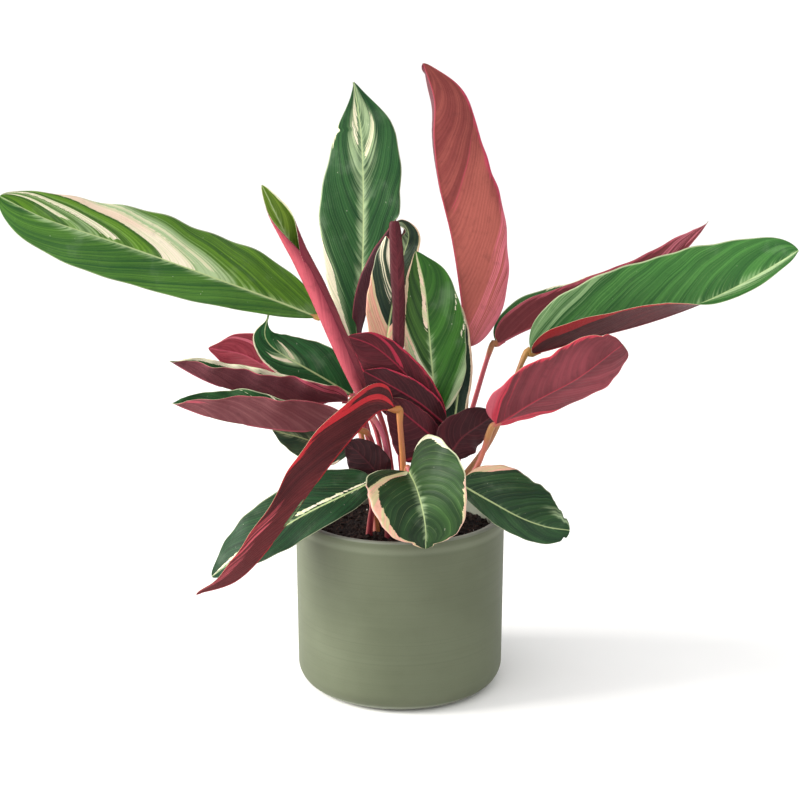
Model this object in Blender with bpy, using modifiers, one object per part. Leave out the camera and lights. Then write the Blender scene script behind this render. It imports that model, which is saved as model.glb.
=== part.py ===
"""Stromanthe triostar in its pot: one turned pot, the potting soil in it, and twenty-five leaves.
Each leaf is a thin blade with its own stalk, and each stalk stands in a socket in the soil.
The pot's underside is centred on the origin, +Z is up, and -Y faces the viewer."""

import bpy
import numpy as np

for old in list(bpy.data.objects):
    bpy.data.objects.remove(old, do_unlink=True)

MM = 0.001

POT_RADIUS = 75.0
POT_HEIGHT = 127.0
POT_WAIST_RADIUS = 74.2
POT_FOOT_ROUND = 15.0
POT_WALL = 5.5
POT_FLOOR = 7.0
POT_LIP_BEVEL = 4.0
SOIL_TOP = 112.0
SOIL_DOME = 2.0
SOCKET_DEPTH = 12.0
SOCKET_PLAY = 0.7
GAP = 0.3
BLADE_GAP = 0.6
NECK = 5.0
TURN_STEPS = 48

BLADE_THICKNESS = 0.8
BLADE_ROWS = 10
BLADE_CELLS = 3
SMALL_ROWS = 8
SMALL_CELLS = 2
SMALL_LENGTH = 90.0
LEAST_HALF_WIDTH = 1.5
FOLD_WIDTH = 8.0
STALK_SIDES = 2
STALK_RINGS = 8

# Each leaf, in millimetres. rib: points along the midrib from base to tip. face: where the upper side
# looks, from base to tip. left and right, as seen on the upper side with the tip up: widest half width,
# fold and curl in degrees from base to tip, and how blunt the base and the tip are. stalk: points from
# the soil up. thick: stalk radius at the foot and at the blade.
LEAVES = {
    "far_left": {
        "rib": [(-57, -12, 270), (-89, -22, 285), (-120, -32, 299), (-165, -44, 318), (-199, -54, 332),
                (-231, -62, 345), (-259, -66, 360)],
        "face": [(0.15, -0.62, 0.75), (0.1, -0.72, 0.68), (0.1, -0.8, 0.6)],
        "left": (23, [-5, -15, -25], [-30, -25, -20], 0.75, 0.6),
        "right": (35, [12, 5, 0], [-15, -10, -10], 0.36, 0.6),
        "stalk": [(-17, -8), (-20, -4, 135), (-30, 10, 191), (-44, 6, 243)], "thick": (2.4, 1.7)},
    "rolled": {
        "rib": [(-21, -28, 212), (-37, -33, 250), (-56, -38, 294), (-76, -43, 334), (-91, -46, 365)],
        "face": [(0.3, -0.8, 0.3)],
        "left": (25, [0], [168, 168, 168, 168, 120, 60], 0.4, 0.7),
        "right": (25, [0], [160, 160, 160, 160, 120, 60], 0.4, 0.7),
        "stalk": [(-2, -12), (-6, -12, 138), (-11, -22, 185)], "thick": (2.2, 1.7)},
    "top_left": {
        "rib": [(-31, 30, 236), (-28, 32, 274), (-26, 33, 332), (-27, 32, 388), (-32, 26, 428)],
        "face": [(-0.1, -0.95, 0.15), (0, -0.97, 0.1)],
        "left": (31, [10, 8, 0], [0, -5, -10], 0.85, 0.95),
        "right": (31, [12, 8, 0], [0, -5, -10], 1.3, 0.75),
        "stalk": [(-1, 5), (-4, 8, 136), (-11, 18, 181), (-25, 27, 216)], "thick": (2.3, 1.7)},
    "inner_rolled": {
        "rib": [(-1, -7, 244), (-1, -9, 275), (-3, -9, 306), (-4, -8, 334)],
        "face": [(0, 0.95, 0.1)],
        "left": (9, [-10], [150], 0.3, 0.4),
        "right": (9, [-10], [150], 0.3, 0.4),
        "stalk": [(4, 0), (3, 0, 138), (1, -4, 195)], "thick": (2.0, 1.6)},
    "behind": {
        "rib": [(-11, 12, 240), (-6, 12, 271), (1, 11, 305), (6, 9, 322), (3, 6, 332), (-3, 3, 334)],
        "face": [(-0.1, -0.95, 0.1), (0, -0.95, 0.1), (0.1, -0.4, 0.9)],
        "left": (17, [5], [-5], 0.52, 0.72),
        "right": (13, [5], [10], 0.52, 0.72),
        "stalk": [(6, 9), (3, 11, 135), (-3, 11, 191)], "thick": (2.0, 1.6)},
    "center_right": {
        "rib": [(27, 1, 198), (23, 1, 228), (20, 2, 262), (17, 2, 290), (11, 0, 314)],
        "face": [(0.05, -0.95, 0.25)],
        "left": (19, [5], [-10], 0.5, 0.6),
        "right": (26, [5], [-15], 0.5, 0.6),
        "stalk": [(13, 3), (17, 5, 133), (24, 4, 167)], "thick": (2.2, 1.7)},
    "right_behind": {
        "rib": [(37, 8, 180), (41, 10, 206), (43, 12, 235), (41, 12, 263), (37, 12, 285)],
        "face": [(-0.2, -0.95, 0.1)],
        "left": (14, [0], [0], 0.52, 0.72),
        "right": (9, [5], [0], 0.52, 0.72),
        "stalk": [(18, 10), (23, 8, 132), (32, 8, 158)], "thick": (2.0, 1.6)},
    "tall_red": {
        "rib": [(48, 20, 242), (43, 26, 283), (37, 30, 319), (28, 32, 356), (24, 30, 389), (24, 26, 416),
                (16, 20, 441)],
        "face": [(0.2, 0.97, 0.0)],
        "left": (39, [5], [10, 20, 25], 0.5, 0.62),
        "right": (30, [70, 60, 50], [10], 0.5, 0.6),
        "stalk": [(23, 14), (29, 14, 130), (45, 16, 182)], "thick": (2.4, 1.7)},
    "back_right": {
        "rib": [(70, 30, 242), (97, 36, 254), (145, 48, 268), (187, 58, 290), (212, 64, 311),
                (225, 66, 326)],
        "face": [(-0.3, 0.05, 0.95)],
        "left": (26, [50], [0], 0.4, 0.8),
        "right": (23, [82], [0], 0.32, 0.75),
        "stalk": [(28, 19), (34, 20, 128), (51, 24, 191)], "thick": (2.2, 1.6)},
    "right_long": {
        "rib": [(92, -4, 242), (130, -2, 252), (168, 0, 262), (202, 0, 274), (229, -2, 287),
                (252, -5, 301), (274, -8, 316)],
        "face": [(-0.3, -0.5, 0.9), (-0.3, -0.6, 0.8), (-0.2, -0.7, 0.7)],
        "left": (43, [45, 30, 10], [-10], 0.42, 0.55),
        "right": (30, [85, 75, 50, 10, 0], [-5], 0.42, 0.95),
        "stalk": [(25, 0), (32, 0, 134), (64, -4, 180)], "thick": (2.4, 1.7)},
    "right_low": {
        "rib": [(67, -30, 198), (89, -36, 214), (116, -42, 231), (135, -46, 246), (150, -46, 258)],
        "face": [(-0.2, 0.9, 0.5)],
        "left": (24, [10], [0], 0.6, 0.32),
        "right": (32, [0], [0], 0.36, 0.4),
        "stalk": [(29, -28), (36, -28, 136), (54, -28, 168)], "thick": (2.2, 1.7)},
    "dark_low": {
        "rib": [(33, -24, 172), (43, -24, 187), (56, -21, 196), (68, -18, 204)],
        "face": [(0.1, 0.9, 0.3)],
        "left": (16, [10], [0], 0.52, 0.72),
        "right": (18, [0], [0], 0.52, 0.72),
        "stalk": [(22, -17), (23, -19, 133), (29, -23, 155)], "thick": (1.8, 1.5)},
    "front_right": {
        "rib": [(41, -42, 159), (61, -56, 151), (81, -68, 143), (98, -76, 139), (114, -78, 137)],
        "face": [(0.3, -0.7, 0.7)],
        "left": (34, [20, 10, 0], [-10], 0.35, 0.5),
        "right": (13, [-10], [-30], 0.6, 0.35),
        "stalk": [(22, -36), (28, -38, 131), (35, -40, 147)], "thick": (2.0, 1.6)},
    "front": {
        "rib": [(6, -46, 169), (12, -68, 164), (17, -86, 154), (20, -92, 142), (22, -92, 129)],
        "face": [(0.1, -0.3, 0.95), (0.1, -0.6, 0.8), (0.1, -0.8, 0.5), (0.1, -0.95, 0.3)],
        "left": (34, [75, 45, 20, 10], [0], 0.3, 0.42),
        "right": (36, [10], [0], 0.38, 0.4),
        "stalk": [(6, -31), (4, -30, 136), (3, -40, 157)], "thick": (2.0, 1.6)},
    "folded_red": {
        "rib": [(-4, -41, 211), (-15, -51, 212), (-27, -60, 203), (-47, -70, 181), (-78, -77, 138),
                (-108, -80, 104), (-138, -80, 92)],
        "face": [(-0.6, 0.5, -0.3), (-0.6, 0.8, 0.1), (-0.6, 0.8, 0.2)],
        "left": (24, [-10, 0, 0], [0], 0.3, 0.6),
        "right": (18, [162], [0], 0.5, 0.7),
        "stalk": [(3, -23), (3, -26, 138), (2, -33, 172), (0, -37, 200)], "thick": (2.3, 1.8)},
    "left_low": {
        "rib": [(-18, -38, 160), (-41, -50, 152), (-68, -58, 140), (-102, -64, 120), (-129, -64, 99)],
        "face": [(-0.2, -0.6, 0.8)],
        "left": (17, [0], [-10], 0.42, 0.5),
        "right": (30, [0], [0], 0.36, 0.5),
        "stalk": [(-22, -19), (-19, -26, 138), (-13, -33, 151)], "thick": (2.0, 1.6)},
    "left_mid": {
        "rib": [(-33, -30, 194), (-69, -40, 196), (-102, -48, 202), (-125, -54, 208), (-153, -58, 220)],
        "face": [(0, -0.1, 0.95)],
        "left": (24, [85], [0], 0.4, 0.62),
        "right": (24, [68], [0], 0.4, 0.62),
        "stalk": [(-8, -3), (-10, -8, 137), (-20, -20, 184)], "thick": (2.0, 1.6)},
    "left_up": {
        "rib": [(-36, -20, 212), (-69, -28, 213), (-103, -34, 220), (-129, -40, 230), (-156, -44, 246)],
        "face": [(0, -0.1, 0.95)],
        "left": (19, [80], [0], 0.4, 0.62),
        "right": (25, [68], [0], 0.4, 0.62),
        "stalk": [(-11, 3), (-13, 0, 134), (-24, -12, 189)], "thick": (2.0, 1.6)},
    "left_pink": {
        "rib": [(-36, 18, 207), (-66, 16, 218), (-93, 12, 229), (-112, 8, 240), (-135, 4, 245)],
        "face": [(0.1, 0.9, 0.3)],
        "left": (24, [0], [0], 0.6, 0.42),
        "right": (14, [60, 20, 0], [0], 0.8, 0.36),
        "stalk": [(-10, 13), (-15, 12, 134), (-23, 15, 182)], "thick": (2.0, 1.6)},
    "left_dark": {
        "rib": [(-34, -5, 215), (-56, -9, 232), (-70, -12, 240), (-80, -15, 248), (-92, -18, 258),
                (-97, -23, 270)],
        "face": [(0.2, -0.95, 0.25)],
        "left": (12, [-20, -10, 0], [0], 1.0, 0.36),
        "right": (18, [0], [0], 0.5, 0.5),
        "stalk": [(-5, 9), (-9, 4, 137), (-17, 0, 186)], "thick": (2.0, 1.6)},
    "maroon_top": {
        "rib": [(30, -6, 194), (15, -10, 216), (-3, -12, 237), (-19, -12, 250), (-36, -10, 256)],
        "face": [(0, 0.9, -0.2)],
        "left": (17, [0], [0], 0.45, 0.5),
        "right": (22, [0], [0], 0.45, 0.5),
        "stalk": [(12, -4), (14, -4, 132), (28, 0, 169)], "thick": (1.9, 1.5)},
    "maroon_mid": {
        "rib": [(31, -12, 194), (14, -18, 210), (-6, -20, 223), (-25, -18, 233)],
        "face": [(0, 0.9, -0.2)],
        "left": (12, [0], [0], 0.45, 0.5),
        "right": (20, [0], [0], 0.45, 0.5),
        "stalk": [(15, -11), (17, -10, 134), (29, -6, 167)], "thick": (1.9, 1.5)},
    "maroon_low": {
        "rib": [(28, -16, 180), (17, -22, 192), (3, -26, 205), (-10, -28, 216)],
        "face": [(0, 0.9, -0.2)],
        "left": (10, [0], [0], 0.45, 0.5),
        "right": (26, [0], [0], 0.42, 0.5),
        "stalk": [(9, -16), (14, -14, 131), (28, -11, 157)], "thick": (1.8, 1.5)},
    "left_behind": {
        "rib": [(-35, 12, 171), (-54, 10, 173), (-72, 6, 179), (-91, 4, 185)],
        "face": [(0, -0.6, 0.7)],
        "left": (18, [0], [0], 0.52, 0.72),
        "right": (14, [0], [0], 0.52, 0.72),
        "stalk": [(-18, 7), (-19, 7, 131), (-26, 10, 161)], "thick": (1.8, 1.5)},
    "inner_maroon": {
        "rib": [(-11, -24, 155), (-20, -26, 167), (-29, -26, 177), (-39, -25, 184)],
        "face": [(0, 0.9, 0)],
        "left": (14, [0], [0], 0.52, 0.72),
        "right": (14, [0], [0], 0.52, 0.72),
        "stalk": [(-9, -20), (-9, -21, 131), (-10, -24, 142)], "thick": (1.7, 1.4)},
}

MAROON_SIDE_SHOWS = {"tall_red", "right_low", "dark_low", "folded_red", "left_pink", "maroon_top",
                     "maroon_mid", "maroon_low", "inner_maroon", "back_right", "left_mid", "left_up"}


def spline(points, count):
    """count points, evenly spaced, on the smooth curve through the given points (Catmull-Rom)."""
    p = np.array(points, float)
    p = np.vstack([2 * p[0] - p[1], p, 2 * p[-1] - p[-2]])
    t = np.linspace(0, 1, 24, endpoint=False)[:, None]
    runs = [0.5 * (2 * b + (c - a) * t + (2 * a - 5 * b + 4 * c - d) * t**2
                   + (3 * b - a - 3 * c + d) * t**3)
            for a, b, c, d in zip(p, p[1:], p[2:], p[3:])]
    fine = np.vstack(runs + [p[-2:-1]])
    reach = np.append(0, np.cumsum(np.linalg.norm(np.diff(fine, axis=0), axis=1)))
    at = np.linspace(0, reach[-1], count)
    return np.stack([np.interp(at, reach, fine[:, k]) for k in range(3)], axis=1)


def keyed(values, u):
    """The values, spread evenly from base to tip, read at each u."""
    values = np.array(values, float).reshape(len(values), -1)
    at = np.linspace(0, 1, len(values))
    read = np.stack([np.interp(u, at, column) for column in values.T], axis=1)
    return read[:, 0] if read.shape[1] == 1 else read


def unit(v):
    return v / np.linalg.norm(v, axis=-1, keepdims=True)


def half_width(u, base, tip):
    """u^base (1 - u)^tip, scaled so that the widest place is 1."""
    widest = base / (base + tip)
    return u**base * (1 - u) ** tip / (widest**base * (1 - widest) ** tip)


def blade_points(leaf, rows, cells):
    """Points of the blade, (rows + 1) x (2 cells + 1): out from the midrib on both sides, folded and
    curled. The fold eases off where the blade is narrow."""
    u = np.linspace(0, 1, rows + 1)
    rib = spline(leaf["rib"], rows + 1)
    along = unit(np.gradient(rib, axis=0))
    face = keyed(leaf["face"], u)
    face = unit(face - (face * along).sum(1, keepdims=True) * along)
    aside = np.cross(along, face)
    columns = []
    for place in np.linspace(-1, 1, 2 * cells + 1):
        name = "left" if place < 0 else "right"
        wide, fold, curl, base, tip = leaf[name]
        wide = np.maximum(wide * half_width(u, base, tip), LEAST_HALF_WIDTH)
        fold = np.radians(keyed(fold, u)) * np.minimum(1, wide / FOLD_WIDTH)
        curl = np.radians(keyed(curl, u)) + 1e-6
        out = (np.sin(fold + curl * abs(place)) - np.sin(fold)) / curl
        lift = (np.cos(fold) - np.cos(fold + curl * abs(place))) / curl
        move = np.sign(place) * out[:, None] * aside + lift[:, None] * face
        columns.append(rib + wide[:, None] * move)
    return np.stack(columns, axis=1)


def blade_size(leaf):
    """(rows, cells) of the blade's grid: a long blade gets more of both."""
    length = np.linalg.norm(np.diff(spline(leaf["rib"], 40), axis=0), axis=1).sum()
    return (SMALL_ROWS, SMALL_CELLS) if length < SMALL_LENGTH else (BLADE_ROWS, BLADE_CELLS)


def material(name, colour, roughness):
    made = bpy.data.materials.new(name)
    made.use_nodes = True
    shader = made.node_tree.nodes["Principled BSDF"]
    shader.inputs["Base Color"].default_value = (*colour, 1)
    shader.inputs["Roughness"].default_value = roughness
    return made


def blade(name, leaf):
    """A grid bent to the blade's shape, then given its thickness."""
    rows, cells = blade_size(leaf)
    bpy.ops.mesh.primitive_grid_add(x_subdivisions=2 * cells, y_subdivisions=rows, size=1)
    obj = bpy.context.object
    obj.name = "leaf_" + name
    obj.data.vertices.foreach_set("co", (blade_points(leaf, rows, cells) * MM).ravel())
    thicken = obj.modifiers.new("thickness", "SOLIDIFY")
    thicken.thickness = BLADE_THICKNESS * MM
    thicken.offset = 0
    maroon = name in MAROON_SIDE_SHOWS
    obj.data.materials.append(
        material(obj.name, (0.16, 0.03, 0.06) if maroon else (0.05, 0.2, 0.05), 0.4))
    return obj


def stalk_path(leaf):
    """Points from the foot, set in the soil, to just short of the blade's base, ending in line with it."""
    base, beyond = spline(leaf["rib"], blade_size(leaf)[0] + 1)[:2]
    into = unit(beyond - base)
    foot = leaf["stalk"][0]
    low = [(*foot, SOIL_TOP - SOCKET_DEPTH), (*foot, SOIL_TOP + 2)]
    points = low + leaf["stalk"][1:] + [tuple(base - into * NECK)]
    return np.vstack([spline(points, STALK_RINGS - 1), base - into * BLADE_GAP])


def rod(name, path, radii, sides=STALK_SIDES):
    """A round rod along the path: a curve with a bevel and closed ends, made into a mesh."""
    curve = bpy.data.curves.new(name, "CURVE")
    curve.dimensions = "3D"
    curve.bevel_depth = MM
    curve.bevel_resolution = sides
    curve.use_fill_caps = True
    line = curve.splines.new("POLY")
    line.points.add(len(path) - 1)
    for point, place, radius in zip(line.points, path, np.broadcast_to(radii, len(path))):
        point.co = (*(place * MM), 1)
        point.radius = radius
    obj = bpy.data.objects.new(name, curve)
    bpy.context.collection.objects.link(obj)
    bpy.ops.object.select_all(action="DESELECT")
    obj.select_set(True)
    bpy.context.view_layer.objects.active = obj
    bpy.ops.object.convert(target="MESH")
    return bpy.context.object


def stalk(name, leaf):
    foot, neck = leaf["thick"]
    obj = rod("stalk_" + name, stalk_path(leaf), np.linspace(foot, neck, STALK_RINGS))
    obj.data.materials.append(material(obj.name, (0.35, 0.12, 0.1), 0.45))
    return obj


def turned(name, profile, colour, roughness):
    """The profile, (radius, height) pairs from the axis round to the axis, turned about Z."""
    mesh = bpy.data.meshes.new(name)
    points = [(r * MM, 0, z * MM) for r, z in profile]
    mesh.from_pydata(points, [(i, i + 1) for i in range(len(points) - 1)], [])
    obj = bpy.data.objects.new(name, mesh)
    bpy.context.collection.objects.link(obj)
    turn = obj.modifiers.new("turn", "SCREW")
    turn.steps = turn.render_steps = TURN_STEPS
    turn.use_merge_vertices = True
    turn.merge_threshold = 0.00001
    turn.use_normal_calculate = True
    obj.data.materials.append(material(name, colour, roughness))
    return obj


def corner(centre, radius, start, end, count):
    """count points on a round corner, from one angle to another, in degrees."""
    turns = np.radians(np.linspace(start, end, count))
    return [(centre[0] + radius * np.cos(t), centre[1] + radius * np.sin(t)) for t in turns]


def make_pot():
    inside = POT_RADIUS - POT_WALL
    foot = (POT_WAIST_RADIUS - POT_FOOT_ROUND, POT_FOOT_ROUND)
    heel = POT_FOOT_ROUND - POT_WALL
    profile = [(0, 0), *corner(foot, POT_FOOT_ROUND, -90, 0, 7)]
    profile += [(POT_RADIUS, POT_HEIGHT - 20), *corner((POT_RADIUS - 1, POT_HEIGHT - 1), 1, 0, 90, 4)]
    profile += [(inside + 1, POT_HEIGHT - 0.5), (inside, POT_HEIGHT - POT_LIP_BEVEL)]
    profile += [*corner((POT_WAIST_RADIUS - POT_WALL - heel, POT_FLOOR + heel), heel, 0, -90, 5)]
    profile += [(0, POT_FLOOR)]
    return turned("pot", profile, (0.33, 0.37, 0.28), 0.6)


def make_soil():
    inside = POT_WAIST_RADIUS - POT_WALL - GAP
    heel = POT_FOOT_ROUND - POT_WALL
    profile = [(0, POT_FLOOR + GAP), *corner((inside - heel, POT_FLOOR + GAP + heel), heel, -90, 0, 5)]
    profile += [(inside, SOIL_TOP - 2), (inside - 4, SOIL_TOP), (0, SOIL_TOP + SOIL_DOME)]
    return turned("soil", profile, (0.025, 0.018, 0.015), 0.95)


def cut_sockets(soil):
    """One cutter of all the stalk feet, each a little fatter than the stalk, taken out of the soil."""
    bpy.ops.object.select_all(action="DESELECT")
    feet = []
    for name, leaf in LEAVES.items():
        path = stalk_path(leaf)
        low = path[0] - (0, 0, SOCKET_PLAY)
        near = np.vstack([low, path[:3]])
        thick = leaf["thick"][0] + SOCKET_PLAY
        feet.append(rod("socket_" + name, near, thick))
    for foot in feet:
        foot.select_set(True)
    bpy.context.view_layer.objects.active = feet[0]
    bpy.ops.object.join()
    cutter = bpy.context.object
    cutter.hide_render = True
    cut = soil.modifiers.new("sockets", "BOOLEAN")
    cut.operation = "DIFFERENCE"
    cut.solver = "EXACT"
    cut.use_self = True
    cut.object = cutter


make_pot()
soil = make_soil()
for name, leaf in LEAVES.items():
    blade(name, leaf)
    stalk(name, leaf)
cut_sockets(soil)
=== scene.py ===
import bpy
import numpy as np
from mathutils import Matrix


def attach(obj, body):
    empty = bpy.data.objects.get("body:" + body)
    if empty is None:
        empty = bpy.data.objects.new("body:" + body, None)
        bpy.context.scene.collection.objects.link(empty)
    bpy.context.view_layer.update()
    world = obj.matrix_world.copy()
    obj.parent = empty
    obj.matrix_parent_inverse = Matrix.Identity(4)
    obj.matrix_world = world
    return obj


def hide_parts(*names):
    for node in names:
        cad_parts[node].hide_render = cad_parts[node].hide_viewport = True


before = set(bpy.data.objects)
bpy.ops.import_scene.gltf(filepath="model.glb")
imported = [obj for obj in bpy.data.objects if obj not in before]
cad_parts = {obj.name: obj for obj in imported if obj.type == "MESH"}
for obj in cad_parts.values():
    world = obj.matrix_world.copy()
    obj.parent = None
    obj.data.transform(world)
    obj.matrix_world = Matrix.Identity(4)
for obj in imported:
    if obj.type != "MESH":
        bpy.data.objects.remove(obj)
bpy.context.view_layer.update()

# The camera stands 1.13 m in front of the pot and 0.49 m up, and looks a little down at it through a
# short telephoto lens. The renderer is left to show colours plainly.
CAMERA_PLACE = (0.0, -1.1343, 0.4859)
CAMERA_PITCH = np.radians(90 - 13.76)
LENS = 74.25

camera = bpy.data.objects.new("camera", bpy.data.cameras.new("camera"))
camera.data.lens = LENS
camera.data.sensor_width = 36
camera.data.clip_start = 0.05
camera.location = CAMERA_PLACE
camera.rotation_euler = (CAMERA_PITCH, 0, 0)
bpy.context.collection.objects.link(camera)
bpy.context.scene.camera = camera
bpy.context.scene.view_settings.view_transform = "Standard"


# The pot is one piece of stoneware, turned on a wheel, so it is round, with a rounded foot and a soft
# lip. Its matt sage glaze keeps the fine rings that the turning left, and the lip and the inside are
# a little lighter.
MM = 0.001
POT_RADIUS = 75.0
POT_HEIGHT = 127.0
POT_WAIST = 74.2
POT_FOOT_ROUND = 15.0
POT_WALL = 5.5
POT_FLOOR = 7.0
POT_HEEL = POT_FOOT_ROUND - POT_WALL
POT_LIP_ROUND = 1.2
POT_BEVEL_ROUND = 4.0
POT_CENTRE = 0.3
POT_RING_DEPTH = 0.06
POT_STEPS = 256
POT_ROWS = 320


def linear(code):
    """The linear colour of a hex code such as 6E7A5C, with full alpha."""
    part = np.array([int(code[i:i + 2], 16) for i in (0, 2, 4)]) / 255
    part = np.where(part <= 0.04045, part / 12.92, ((part + 0.055) / 1.055) ** 2.4)
    return (*part.tolist(), 1.0)


def bearings(count):
    """Angles spread evenly round the circle."""
    return np.linspace(0, 2 * np.pi, count, endpoint=False)


def arc(centre, radius, start, end, count=24):
    """Points round a centre at one radius, from one angle to another in degrees: cosine out, sine up."""
    turn = np.radians(np.linspace(start, end, count))
    return np.stack([centre[0] + radius * np.cos(turn), centre[1] + radius * np.sin(turn)], axis=1)


def even(points, count):
    """The same line with count points: places read off along its length, which is summed step by step."""
    reach = np.append(0, np.cumsum(np.linalg.norm(np.diff(points, axis=0), axis=1)))
    at = np.linspace(0, reach[-1], count)
    return np.stack([np.interp(at, reach, column) for column in points.T], axis=1)


def grid_faces(rows, columns, start=0, around=False):
    """Four-cornered faces between neighbours of a rows x columns grid, numbered row by row."""
    index = start + np.arange(rows * columns).reshape(rows, columns)
    if around:
        index = np.concatenate([index, index[:, :1]], axis=1)
    a, b, c, d = index[:-1, :-1], index[1:, :-1], index[1:, 1:], index[:-1, 1:]
    return np.stack([a, b, c, d], axis=-1).reshape(-1, 4)


def tube_faces(rows, columns):
    """The faces of a grid that closes round, facing out, with one flat face over each end."""
    last = (rows - 1) * columns
    sides = grid_faces(rows, columns, around=True)[:, ::-1].tolist()
    return sides + [list(range(columns))[::-1], list(range(last, last + columns))]


def add_piece(name, points, faces, materials, slot, *replaced):
    """A smooth mesh object of these points in millimetres, riding on the one body."""
    mesh = bpy.data.meshes.new(name)
    mesh.from_pydata(points * MM, [], faces)
    mesh.shade_smooth()
    for each in materials:
        mesh.materials.append(each)
    piece = bpy.data.objects.new(name, mesh)
    bpy.context.collection.objects.link(piece)
    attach(piece, "root")
    if replaced:
        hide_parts(*replaced)
    return piece


class Wire:
    """One output socket in a material. Sums on it add Math nodes, and node() adds any other node."""

    def __init__(self, tree, socket=None):
        self.tree = tree
        self.socket = socket

    def node(self, kind, settings, values, out=0):
        """A node with its settings made first, then its sockets' values or links."""
        made = self.tree.nodes.new("ShaderNode" + kind)
        for key, value in settings.items():
            setattr(made, key, value)
        for key, value in values.items():
            if isinstance(value, Wire):
                self.tree.links.new(value.socket, made.inputs[key])
            else:
                made.inputs[key].default_value = linear(value) if isinstance(value, str) else value
        return Wire(self.tree, made.outputs[out])

    def math(self, operation, *terms):
        return self.node("Math", {"operation": operation}, dict(enumerate(terms)))

    def __add__(self, other):
        return self.math("ADD", self, other)

    def __sub__(self, other):
        return self.math("SUBTRACT", self, other)

    def __rsub__(self, other):
        return self.math("SUBTRACT", other, self)

    def __mul__(self, other):
        return self.math("MULTIPLY", self, other)

    def __pow__(self, other):
        return self.math("POWER", self, other)

    __radd__ = __add__
    __rmul__ = __mul__

    def most(self, other):
        return self.math("MAXIMUM", self, other)

    def sine(self):
        return self.math("SINE", self)

    def rise(self, low, high):
        """0 at low and 1 at high, easing between them, also where high is the smaller."""
        return self.node("MapRange", {"interpolation_type": "SMOOTHSTEP"},
                         {"Value": self, "From Min": low, "From Max": high})

    def mix(self, first, second):
        """The first colour where this is 0, turning to the second where it is 1."""
        return self.node("Mix", {"data_type": "RGBA"}, {0: self, 6: first, 7: second}, out=2)

    def parts(self):
        """The three numbers of a vector."""
        split = self.node("SeparateXYZ", {}, {"Vector": self}).socket.node
        return [Wire(self.tree, socket) for socket in split.outputs]

    def place(self):
        """Where on the object this point lies, in metres."""
        return self.node("TexCoord", {}, {}, "Object")

    def vector(self, x, y, z):
        return self.node("CombineXYZ", {}, {"X": x, "Y": y, "Z": z})

    def noise(self, vector, scale, detail):
        return self.node("TexNoise", {}, {"Vector": vector, "Scale": scale, "Detail": detail})

    def stretch(self, vector, by):
        return self.node("VectorMath", {"operation": "MULTIPLY"}, {0: vector, 1: by})

    def attribute(self, name, out="Vector"):
        return self.node("Attribute", {"attribute_name": name}, {}, out)

    def own(self, *names):
        """The colours that the mesh itself carries."""
        return [self.attribute(name, "Color") for name in names]

    def bump(self, height, strength, distance):
        return self.node("Bump", {}, {"Strength": strength, "Distance": distance, "Height": height})


def new_material(name):
    made = bpy.data.materials.new(name)
    made.use_nodes = True
    shader = made.node_tree.nodes["Principled BSDF"]

    def finish(**sockets):
        for key, value in sockets.items():
            socket = shader.inputs[key.replace("_", " ")]
            if isinstance(value, Wire):
                made.node_tree.links.new(value.socket, socket)
            else:
                socket.default_value = value
        return made

    return Wire(made.node_tree), finish


def pot_profile():
    """Radius and height along the wall: foot, round, side, lip, inside, round, floor."""
    inside = POT_RADIUS - POT_WALL
    line = np.vstack([
        [(POT_CENTRE, 0)],
        arc((POT_WAIST - POT_FOOT_ROUND, POT_FOOT_ROUND), POT_FOOT_ROUND, -90, 0),
        arc((POT_RADIUS - POT_LIP_ROUND, POT_HEIGHT - 1.4), POT_LIP_ROUND, 0, 90, 10),
        arc((inside + 2.6, POT_HEIGHT - 4.2), POT_BEVEL_ROUND, 100, 165, 10),
        arc((POT_WAIST - POT_WALL - POT_HEEL, POT_FLOOR + POT_HEEL), POT_HEEL, 0, -90),
        [(POT_CENTRE, POT_FLOOR)]])
    return even(line, POT_ROWS)


def turned(profile, steps):
    """The profile carried round the axis: radius times cosine and sine of the turn, and height."""
    turn = bearings(steps)
    radius, height = profile[:, :1], profile[:, 1:]
    x = radius * np.cos(turn)
    y = radius * np.sin(turn)
    return np.stack([x, y, np.broadcast_to(height, x.shape)], axis=-1).reshape(-1, 3)


def glaze():
    """Matt sage: fine turning rings, soft clouds, a paler lip and inside, and a painted highlight band
    under the lip.
    """
    start, finish = new_material("sage_glaze")
    place = start.place()
    x, y, z = place.parts()
    ring = start.noise(start.stretch(place, (2, 2, 700)), 1, 3)
    wide = start.noise(start.stretch(place, (3, 3, 90)), 1, 3)
    cloud = start.noise(place, 18, 4)
    grain = start.noise(place, 1500, 2)
    inside = ((x ** 2 + y ** 2) ** 0.5).rise(0.0715, 0.0695)
    base = cloud.rise(0.3, 0.7).mix("545A44", "5C624C")
    base = (wide.rise(0.45, 0.8) * 0.3).mix(base, "666C56")
    base = (ring.rise(0.5, 0.75) * 0.3).mix(base, "4A503C")
    # The paler band just under the lip is a painted highlight.
    band = z.rise(0.1165, 0.1195) * z.rise(0.1235, 0.1205)
    base = (band * 0.5).mix(base, "757B66")
    lip = z.rise(0.1252, 0.1266)
    base = (lip.most(inside) * 0.75).mix(base, "8A8E80")
    base = (grain.rise(0.58, 0.75) * 0.25).mix(base, "434934")
    bump = start.bump(ring * 0.7 + wide * 0.5 + grain * 0.25, 0.3, 0.0004)
    return finish(Base_Color=base, Roughness=0.52 + wide * 0.16, Normal=bump, Specular_IOR_Level=0.35)


profile = pot_profile()
rings = np.sin(profile[:, 1] * 2.1) * np.sin(profile[:, 1] * 0.37 + 1) * POT_RING_DEPTH
profile[:, 0] -= np.where(profile[:, 0] > 60, np.abs(rings), 0)
pot_points = turned(profile, POT_STEPS)
add_piece("pot_turned", pot_points, tube_faces(POT_ROWS, POT_STEPS), [glaze()], "sage_pot", "pot")


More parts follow.
